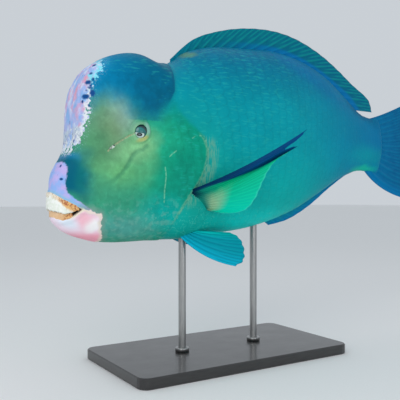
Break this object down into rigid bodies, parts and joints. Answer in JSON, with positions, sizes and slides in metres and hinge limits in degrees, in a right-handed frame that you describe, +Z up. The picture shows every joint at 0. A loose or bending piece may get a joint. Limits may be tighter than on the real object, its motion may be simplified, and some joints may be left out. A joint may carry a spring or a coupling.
{
  "type": "parrotfish",
  "caption": "Life-size museum model of an adult humphead parrotfish with a high forehead and bare beak, swimming slightly nose down on a plain stand.",
  "frame": {"origin": "middle of the length and width, on the underside of the stand's base", "axes": "+X from the beak to the tail, +Y to the fish's right side, +Z up"},
  "size_m": [1.1, 0.4216, 0.745],
  "materials": {
    "head": "scaly skin, yellow-green to olive, satin",
    "forehead_hump": "smooth scaly skin, cerulean blue with a pink scraped front, satin",
    "lower_jaw": "worn skin, pink and white, satin",
    "gill_cover": "scaly skin, green, satin",
    "trunk": "large scales, turquoise, satin",
    "tail_stem": "scales, blue, satin",
    "beak": "fused teeth, off-white with brown stains, glossy",
    "eye": "wet eye, teal lid with a white ring and a black pupil",
    "dorsal_fin": "ribbed fin, dark teal, satin",
    "anal_fin": "ribbed fin, blue, satin",
    "caudal_fin": "ribbed fin, deep blue, satin",
    "pectoral_fin": "ribbed fin, green with a navy front edge, satin",
    "pelvic_fin": "ribbed fin, turquoise, satin",
    "stand_base": "black lacquer, satin",
    "stand_rod": "brushed"
  },
  "bodies": {
    "root": {"head": "head", "forehead_hump": "forehead_hump", "lower_jaw": "lower_jaw", "gill_cover_left": "gill_cover", "gill_cover_right": "gill_cover", "trunk": "trunk", "tail_stem": "tail_stem", "beak_upper": "beak", "beak_lower": "beak", "eye_left": "eye", "eye_right": "eye", "dorsal_fin": "dorsal_fin", "anal_fin": "anal_fin", "caudal_fin": "caudal_fin", "pectoral_fin_left": "pectoral_fin", "pectoral_fin_right": "pectoral_fin", "pelvic_fin_left": "pelvic_fin", "pelvic_fin_right": "pelvic_fin", "stand_base": "stand_base", "stand_rod_front": "stand_rod", "stand_rod_rear": "stand_rod"}
  },
  "joints": []
}
